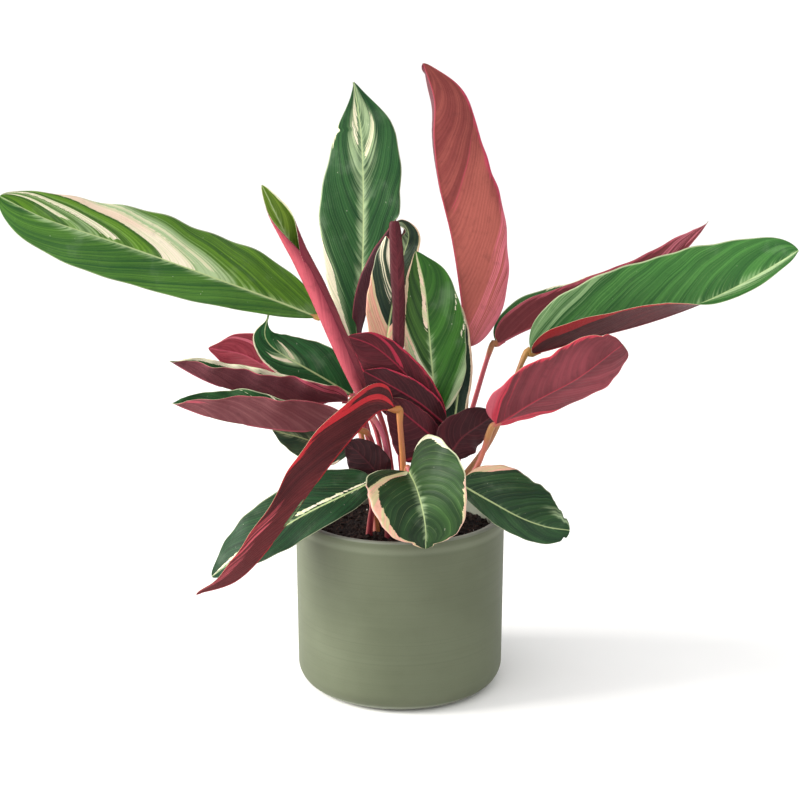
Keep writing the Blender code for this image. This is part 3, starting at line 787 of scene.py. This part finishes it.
# The middle leaf faces forward. Its left half is mostly cream and striped pale green round a dark wedge,
# and its right half is a clear green with cream nicks at the edge.
leaf("center_right", seed=6, rib=[(27, 1, 198), (23, 1, 228), (20, 2, 262), (17, 2, 290), (11, 0, 314)],
     face=[(0.05, -0.95, 0.25)], left=(19, 5, -10, 0.5, 0.6), right=(26, 5, -15, 0.5, 0.6),
     path=[(13, 3), (17, 5, 133), (24, 4, 167)], thick=(2.2, 1.7), veins=0.42,
     greens=("1E3E14", "3E6424", "1E4A14", "3E7426"),
     cream=[(LEFT, -0.6, 0.2, 0, 1, 0.52), (LEFT, 0.17, 0.22, 0, 1, 0.95),
            (LEFT, 0.5, 2, 0.02, 0.2, 0.95), (LEFT, -0.1, 2, 0.84, 1, 1),
            (RIGHT, 0.1, 0.15, 0.82, 1, 0.9), (RIGHT, 0.3, 0.34, 0.75, 1, 0.9),
            (RIGHT, -0.5, -0.2, 0.5, 1, 0.55)],
     pink=[(LEFT, -0.1, 2, 0.6, 1, 0.7), (LEFT, 0.5, 2, 0, 0.3, 0.4)],
     pale=[(LEFT, -0.6, 0.22, 0, 1, 1), (RIGHT, -0.5, -0.05, 0.6, 1, 0.9), (BOTH, -1, 0.5, 0, 0.08, 0.7)])

# A leaf stands close behind it, dark, with a broad cream edge on the right.
leaf("right_behind", seed=7,
     rib=[(37, 8, 180), (41, 10, 206), (43, 12, 235), (41, 12, 263), (37, 12, 285)],
     face=[(-0.2, -0.95, 0.1)], left=(14, 0, 0), right=(9, 5, 0),
     path=[(18, 10), (23, 8, 132), (32, 8, 158)], greens=("10241A", "1E3826"),
     cream=[(RIGHT, -1, 0.8, 0.82, 1, 1)], pink=[(RIGHT, -1, 0.8, 0.8, 1, 0.6)])

# The tall leaf on the right turns its back, a dull brick red with pink rims, and folds along its left
# side, where its maroons are painted darker as shade.
leaf("tall_red", seed=8,
     rib=[(48, 20, 242), (43, 26, 283), (37, 30, 319), (28, 32, 356), (24, 30, 389), (24, 26, 416),
          (16, 20, 441)], face=[(0.2, 0.97, 0.0)], left=(40, 5, [10, 20, 25], 0.5, 0.62),
     right=(26, [84, 76, 62], 10, 0.5, 0.6), path=[(23, 14), (29, 14, 130), (45, 16, 182)],
     thick=(2.4, 1.7), rim_tone=0.85, back=True, cream=[(LEFT, 0.2, 0.5, 0, 1, 0.6)],
     # The second pair of maroons, for the folded half, is darker as painted shade.
     maroons=("74302E", "A2544A", "4E1822", "702C32"), hot="BC3C58",
     red=[(LEFT, -0.6, 0.1, 0, 1, 0.5), (LEFT, -0.6, -0.16, 0.5, 1, 0.9), (LEFT, -1, 2, 0.93, 1, 0.7),
          (LEFT, 0.46, 0.49, 0.1, 0.9, 0.5), (LEFT, 0.2, 0.22, 0.1, 0.9, 0.5)],
     rose=[(LEFT, -0.6, 0.1, 0, 1, 0.8)], bright=[(LEFT, -0.5, 0.4, 0, 0.9, 0.8)],
     tints=("A8682E", "C0606E", "A06A34"))

# A leaf at the back right is folded like a gutter, maroon below, with cream along its open edge.
leaf("back_right", seed=9,
     rib=[(70, 30, 242), (97, 36, 254), (145, 48, 267), (187, 58, 288), (212, 64, 309), (225, 66, 326)],
     face=[(-0.3, 0.05, 0.95)], left=(28, 50, 0, 0.4, 0.9), right=(23, 84, 0, 0.36, 0.62),
     path=[(28, 19), (34, 20, 128), (51, 24, 191)], thick=(2.2, 1.6), rim_tone=0.5, back=True,
     greens=("1E4A20", "3C6A30"), cream=[(LEFT, -0.1, 2, 0.94, 1, 0.8)], maroons=("6A2A30", "8C4044"),
     hot="C05866", red=[(RIGHT, -1, 2, 0.88, 1, 0.7), (RIGHT, 0.55, 1, 0.2, 1, 0.55)],
     rose=[(RIGHT, 0.55, 1, 0, 1, 1)])

# The long leaf on the right is bright green with a pale midrib and many pale side veins. Its near half
# folds up to show a maroon back with a red margin.
leaf("right_long", seed=10,
     rib=[(92, -4, 242), (130, -2, 252), (168, 0, 262), (202, 0, 274), (229, -2, 287), (252, -5, 301),
          (274, -8, 316)], face=[(-0.3, -0.5, 0.9), (-0.3, -0.6, 0.8), (-0.2, -0.7, 0.7)],
     left=(45, [45, 30, 10], -10, 0.42, 0.5), right=(28, [85, 80, 70, 34, 5], -5, 0.42, 0.8),
     path=[(25, 0), (32, 0, 134), (64, -4, 180)], thick=(2.4, 1.7), drip=0, veins=0.4, rim_tone=0.5,
     greens=("1A4A18", "3F7430"),
     # The pale strokes on the right half towards the tip are pale feathering, partly painted sheen.
     pale=[(RIGHT, 0.4, 2, 0, 0.35, 0.72), (RIGHT, 0.5, 2, 0, 0.7, 0.35), (LEFT, -0.5, 0, 0, 1, 0.4),
           (LEFT, 0.5, 2, 0, 0.1, 0.5)], maroons=("4A171D", "6E2A2E"), hot="C8262E",
     red=[(RIGHT, -1, 0.3, 0.92, 1, 0.9), (RIGHT, -1, -0.02, 0.6, 1, 0.9)],
     tints=("A8784A", "B87A52", "B0823E"))

# A broad leaf under it shows its back, deep wine red with a coral sector, a red midrib and pink streaks
# towards the tip.
leaf("right_low", seed=11,
     rib=[(67, -30, 198), (89, -36, 214), (116, -42, 231), (135, -46, 246), (150, -46, 258)],
     face=[(-0.2, 0.9, 0.5)], left=(26, 10, 0, 0.6, 0.26), right=(33, 0, 0, 0.3, 0.32),
     path=[(29, -28), (36, -28, 136), (54, -28, 168)], thick=(2.2, 1.7), drip=0.05,
     nicks=[(RIGHT, 0.93, 0.03, 0.12), (RIGHT, 0.985, 0.015, 0.1)], rim_tone=0.7, back=True,
     maroons=("64262E", "8A3A44"), hot="D43C50",
     red=[(RIGHT, -0.6, -0.02, 0, 1, 1), (RIGHT, 0.03, 0.06, 0.1, 1, 0.7), (RIGHT, 0, 0.7, 0.9, 1, 0.6),
          (LEFT, -0.6, 0.05, 0, 1, 0.8)], rose=[(RIGHT, -0.6, -0.1, 0.6, 1, 0.6)],
     bright=[(RIGHT, 0.3, 0.8, 0.1, 0.7, 0.3), (LEFT, 0.2, 0.8, 0.2, 1, 0.4)],
     tints=("B0604A", "C46A6E", "A87A3C"))

# A small leaf low on the right has its dark wine back to the front.
leaf("dark_low", seed=12, rib=[(33, -24, 172), (43, -24, 187), (56, -21, 196), (68, -18, 204)],
     face=[(0.1, 0.9, 0.3)], left=(16, 10, 0), right=(18, 0, 0),
     path=[(22, -17), (23, -19, 133), (29, -23, 155)], thick=(1.8, 1.5),
     nicks=[(LEFT, 0.62, 0.03, 0.14), (LEFT, 0.8, 0.03, 0.2)], rim_tone=0.15, back=True,
     maroons=("340E16", "501A22"), hot="7A2E36")

# The lower right leaf lies almost flat, dark green, with cream and pink near its stalk and a torn tip.
leaf("front_right", seed=13,
     rib=[(41, -42, 159), (61, -56, 151), (81, -68, 143), (98, -76, 139), (114, -78, 137)],
     face=[(0.3, -0.7, 0.7)], left=(32, [20, 10, 0], -10, 0.35, 0.5), right=(13, -10, -30, 0.6, 0.35),
     path=[(22, -36), (28, -38, 131), (35, -40, 147)], drip=0.1,
     nicks=[(LEFT, 0.95, 0.02, 0.25), (LEFT, 0.9, 0.01, 0.1), (RIGHT, 0.96, 0.02, 0.3)], veins=0.42,
     greens=("14301A", "284A26"), cream=[(LEFT, -0.6, -0.1, 0.72, 1, 1), (BOTH, 0.8, 1, 0.55, 1, 0.56)],
     pink=[(LEFT, -0.6, -0.05, 0.6, 1, 0.9)],
     pale=[(LEFT, 0.5, 0.9, 0.5, 1, 0.45), (BOTH, -1, 2, 0, 0.06, 0.4)])

# The front leaf hangs over the rim. Its right-hand half is a brighter green, its left-hand half is
# painted darker green as shade, with a band of cream and pink, and its lobes have thick cream margins.
leaf("front", seed=14,
     rib=[(6, -46, 169), (11, -68, 164), (15, -86, 154), (17, -92, 142), (17, -92, 129)],
     face=[(0.1, -0.3, 0.95), (0.1, -0.6, 0.8), (0.1, -0.8, 0.5), (0.1, -0.95, 0.3)],
     left=(37, [82, 50, 20, 10], 0, 0.27, 0.55), right=(36, 10, 0, 0.38, 0.52),
     path=[(6, -31), (4, -30, 136), (3, -40, 157)], drip=0.45,
     nicks=[(RIGHT, 0.93, 0.02, 0.25), (LEFT, 0.95, 0.02, 0.3), (LEFT, 0.88, 0.015, 0.08)], veins=0.42,
     # The second pair of greens, for the leaf's own right half (the left-hand half in view), is darker as
     # painted shade.
     rim_tone=0.9, greens=("1C3618", "345426", "102410", "22401E"),
     cream=[(RIGHT, -0.02, 0.07, 0.1, 1, 1), (RIGHT, 0, 2, 0.8, 1, 0.9), (LEFT, -0.6, -0.1, 0.88, 1, 1),
            (LEFT, 0.1, 2, 0.94, 1, 0.9)],
     pink=[(RIGHT, -0.1, 2, 0.2, 1, 0.9), (LEFT, 0.1, 2, 0.8, 1, 0.7)],
     pale=[(BOTH, -1, 2, 0, 0.07, 0.7)])

# The folded leaf droops far to the left with its wine red back outside and a bright red margin.
leaf("folded_red", seed=15,
     rib=[(-4, -41, 211), (-15, -51, 212), (-27, -60, 203), (-47, -70, 181), (-78, -77, 138),
          (-108, -80, 104), (-138, -80, 92)],
     face=[(-0.6, 0.5, -0.3), (-0.6, 0.8, 0.1), (-0.6, 0.8, 0.2)], left=(26, [-10, 0, 0], 0, 0.3, 0.6),
     right=(18, 165, 0, 0.5, 0.7), path=[(3, -23), (3, -26, 138), (2, -33, 172), (0, -37, 200)],
     thick=(2.3, 1.8), wave=(1.6, 2.2), rim_tone=0.45, back=True, maroons=("3E0E14", "5E1E22"),
     hot="CC2A34",
     red=[(LEFT, -0.6, -0.1, 0.86, 1, 1), (LEFT, -0.12, -0.03, 0.25, 1, 1),
          (LEFT, -0.05, 0.1, 0.9, 1, 0.7), (LEFT, 0.3, 1, 0.6, 1, 0.5)],
     rose=[(LEFT, 0.3, 1, 0.3, 0.95, 0.5)], bright=[(LEFT, 0.35, 1, 0, 1, 0.5)],
     tints=("A86A34", "B8743C", "A8702E"))

# The lowest leaf on the left is deep green with cream stripes along the midrib and a cream lower edge.
leaf("left_low", seed=16,
     rib=[(-18, -38, 160), (-41, -50, 152), (-68, -58, 140), (-102, -64, 120), (-129, -64, 99)],
     face=[(-0.2, -0.6, 0.8)], left=(17, 0, -10, 0.42, 0.5), right=(30, 0, 0, 0.36, 0.5),
     path=[(-22, -19), (-19, -26, 138), (-13, -33, 151)], veins=0.42, greens=("0A2812", "184020"),
     cream=[(RIGHT, -1, 0.45, 0.06, 0.12, 1.1), (RIGHT, 0.55, 2, 0.05, 0.16, 0.85),
            (LEFT, -1, 0.3, 0.08, 0.14, 0.62)], pale=[(BOTH, -1, 2, 0, 0.05, 0.6)])

# Two leaves at the left are folded like gutters with dull rose backs and redder lower edges.
leaf("left_mid", seed=17,
     rib=[(-33, -30, 194), (-69, -40, 196), (-102, -48, 202), (-125, -54, 208), (-153, -58, 220)],
     face=[(0, -0.1, 0.95)], left=(23, [85, 85, 80], 0, 0.4, 0.62),
     right=([14, 19, 28, 32], [88, 84, 60, 34], 0, 0.4, 0.62),
     path=[(-8, -3), (-10, -8, 137), (-20, -20, 184)], wave=(1.8, 2.4), rim_tone=0.6, back=True,
     cream=[(RIGHT, 0.1, 0.16, 0.3, 1, 0.8), (RIGHT, 0.3, 0.33, 0.3, 1, 0.7)], pale=(),
     maroons=("6C363C", "925A5C"), hot="C05060", red=[(LEFT, 0.6, 1, 0.7, 1, 0.8)])
leaf("left_up", seed=18,
     rib=[(-36, -20, 212), (-69, -28, 213), (-103, -34, 220), (-129, -40, 230), (-156, -44, 246)],
     face=[(0, -0.1, 0.95)], left=(19, 80, 0, 0.4, 0.62),
     right=([15, 18, 21, 24], [80, 76, 68, 54], 0, 0.4, 0.62),
     path=[(-11, 3), (-13, 0, 134), (-24, -12, 189)], wave=(2.2, 3.2), rim_tone=0.7, back=True,
     cream=[(RIGHT, -1, 2, 0.82, 1, 1), (RIGHT, 0.34, 0.4, 0.3, 1, 0.7)], pale=(),
     maroons=("5A2830", "7E444A"), hot="C05064", red=[(LEFT, -0.4, 0, 0.5, 1, 0.6)])

# A leaf behind them shows a rose red back, brighter towards its edge.
leaf("left_pink", seed=19,
     rib=[(-36, 18, 207), (-66, 16, 218), (-93, 12, 229), (-112, 8, 240), (-135, 4, 245)],
     face=[(0.1, 0.9, 0.3)], left=(25, 0, 0, 0.6, 0.7), right=(20, [60, 20, 0], 0, 0.8, 0.6),
     path=[(-10, 13), (-15, 12, 134), (-23, 15, 182)], rim_tone=0.9, back=True,
     maroons=("8E2E3C", "B84A58"), hot="E0607A",
     red=[(BOTH, -0.5, 0.1, 0.3, 1, 0.6), (BOTH, 0.3, 0.36, 0.1, 1, 0.9), (LEFT, 0.55, 0.62, 0, 1, 0.9)],
     rose=[(LEFT, 0.4, 1, 0.4, 1, 0.7)])

# A small dark leaf points up between the left leaves, with a cream flame near its tip.
leaf("left_dark", seed=20,
     rib=[(-34, -5, 213), (-55, -9, 227), (-69, -12, 236), (-81, -15, 244), (-90, -18, 252),
          (-93, -22, 261), (-90, -25, 274)], face=[(0.2, -0.95, 0.25)],
     left=(13, [-20, -10, 0], 0, 0.9, 0.8), right=(21, 0, 0, 0.45, 1.1),
     path=[(-5, 9), (-9, 4, 137), (-17, 0, 186)], drip=0.9, veins=0.5, rim_tone=0.7,
     greens=("143A1E", "2C6634"), cream=[(BOTH, 0.5, 0.56, 0.05, 0.5, 0.8), (LEFT, 0, 2, 0.9, 1, 0.9)],
     pink=[(BOTH, 0.8, 2, 0, 1, 0.8)], pale=[(BOTH, 0.44, 0.62, 0, 0.35, 0.8)])

# Three wine red backs fan out one under the other in the heart of the plant, each with a red midrib
# and a red edge.
leaf("maroon_top", seed=21,
     rib=[(30, -6, 194), (15, -10, 216), (-3, -12, 237), (-19, -12, 250), (-36, -10, 256)],
     face=[(0, 0.9, -0.2)], left=(12, 0, 0, 0.45, 0.5), right=(22, 0, 0, 0.45, 0.5),
     path=[(12, -4), (14, -4, 132), (28, 0, 169)], thick=(1.9, 1.5), rim_tone=0.5, back=True,
     maroons=("44101A", "6C222C"), hot="B42A44",
     red=[(BOTH, 0.1, 0.13, 0, 1, 0.8), (LEFT, -1, 2, 0.88, 1, 0.8), (LEFT, 0.5, 0.58, 0.1, 1, 0.8),
          (RIGHT, -1, 2, 0.92, 1, 0.7)])
leaf("maroon_mid", seed=22, rib=[(31, -12, 194), (14, -18, 210), (-6, -20, 223), (-25, -18, 233)],
     face=[(0, 0.9, -0.2)], left=(12, 0, 0, 0.45, 0.5), right=(20, 0, 0, 0.45, 0.5),
     path=[(15, -11), (17, -10, 134), (29, -6, 167)], thick=(1.9, 1.5), rim_tone=0.6, back=True,
     maroons=("340E16", "501A22"), hot="B42A44",
     red=[(LEFT, -1, 2, 0.9, 1, 0.8), (RIGHT, 0.3, 0.34, 0.1, 1, 0.6)])
leaf("maroon_low", seed=23, rib=[(28, -16, 180), (17, -22, 192), (3, -26, 205), (-10, -28, 216)],
     face=[(0, 0.9, -0.2)], left=(10, 0, 0, 0.45, 0.5), right=(26, 0, 0, 0.36, 0.95),
     path=[(9, -16), (14, -14, 131), (28, -11, 157)], thick=(1.8, 1.5), back=True,
     maroons=("3E101A", "5A1C26"), hot="B42A44",
     red=[(RIGHT, -0.2, -0.05, 0, 1, 0.6), (RIGHT, 0.2, 0.23, 0.1, 1, 0.6)])

# A grey green leaf looks out from under the left ones.
leaf("left_behind", seed=24, rib=[(-35, 12, 171), (-54, 10, 173), (-72, 6, 179), (-91, 4, 185)],
     face=[(0, -0.6, 0.7)], left=(18, 0, 0), right=(14, 0, 0),
     path=[(-18, 7), (-19, 7, 131), (-26, 10, 161)], thick=(1.8, 1.5), rim_tone=0.7,
     greens=("20382A", "42583E"), cream=[(BOTH, -0.2, 0.3, 0.85, 1, 0.7)],
     pale=[(BOTH, -1, 2, 0, 0.3, 0.4)])

# A small dark maroon leaf is half hidden among the stalks.
leaf("inner_maroon", seed=25, rib=[(-11, -24, 155), (-20, -26, 167), (-29, -26, 177), (-39, -25, 184)],
     face=[(0, 0.9, 0)], left=(14, 0, 0), right=(14, 0, 0),
     path=[(-9, -20), (-9, -21, 131), (-10, -24, 142)], thick=(1.7, 1.4), rim_tone=0.1, back=True,
     maroons=("260C12", "3C141A"), hot="4E1A24")


# The stage is a wide sheet of pale paper with a lit pale wall far away all round. One large soft light
# stands on the left, soft light falls from above the camera, and the sky is pale.
FLOOR_HALF = 40.0
WALL_TOP = 10.0
WALL_GLOW = 0.25
SKY = (0.98, 0.99, 1.0, 1.0)
SKY_STRENGTH = 0.88


def paper(name, glow):
    """Pale matt paper with a faint grain, and a glow where it is lit from behind."""
    start, finish = new_material(name)
    grain = start.noise(start.place(), 6.0, 3.0)
    return finish(Base_Color=grain.rise(0.3, 0.7).mix("F8F7F5", "FBFAF8"), Roughness=0.9,
                  Emission_Color=SKY, Emission_Strength=glow)


stage_mesh = bpy.data.meshes.new("stage")
corners = np.array([(-1, -1, 0), (1, -1, 0), (1, 1, 0), (-1, 1, 0)]) * FLOOR_HALF
walls = [(i, i + 4, (i + 1) % 4 + 4, (i + 1) % 4) for i in range(4)]
stage_mesh.from_pydata(np.concatenate([corners, corners + (0, 0, WALL_TOP)]), [], [(0, 1, 2, 3), *walls])
stage_mesh.materials.append(paper("pale_floor", 0.0))
stage_mesh.materials.append(paper("lit_wall", WALL_GLOW))
stage_mesh.polygons.foreach_set("material_index", [0, 1, 1, 1, 1])
stage = bpy.data.objects.new("stage", stage_mesh)
bpy.context.collection.objects.link(stage)

window = bpy.data.lights.new("window_light", "AREA")
window.size = 0.9
window.energy = 60
window.color = (1.0, 0.98, 0.95)
overhead = bpy.data.lights.new("overhead_light", "SUN")
overhead.energy = 0.8
overhead.angle = np.radians(50)
for lamp, place, turn in ((window, (-1.8, -0.25, 0.85), (71.0, 0, -82.1)),
                          (overhead, (0, 0, 3), (35, 0, -25))):
    light = bpy.data.objects.new(lamp.name, lamp)
    light.location = place
    light.rotation_euler = np.radians(turn)
    bpy.context.collection.objects.link(light)
world = bpy.data.worlds.new("sky")
world.use_nodes = True
world.node_tree.nodes["Background"].inputs["Color"].default_value = SKY
world.node_tree.nodes["Background"].inputs["Strength"].default_value = SKY_STRENGTH
bpy.context.scene.world = world
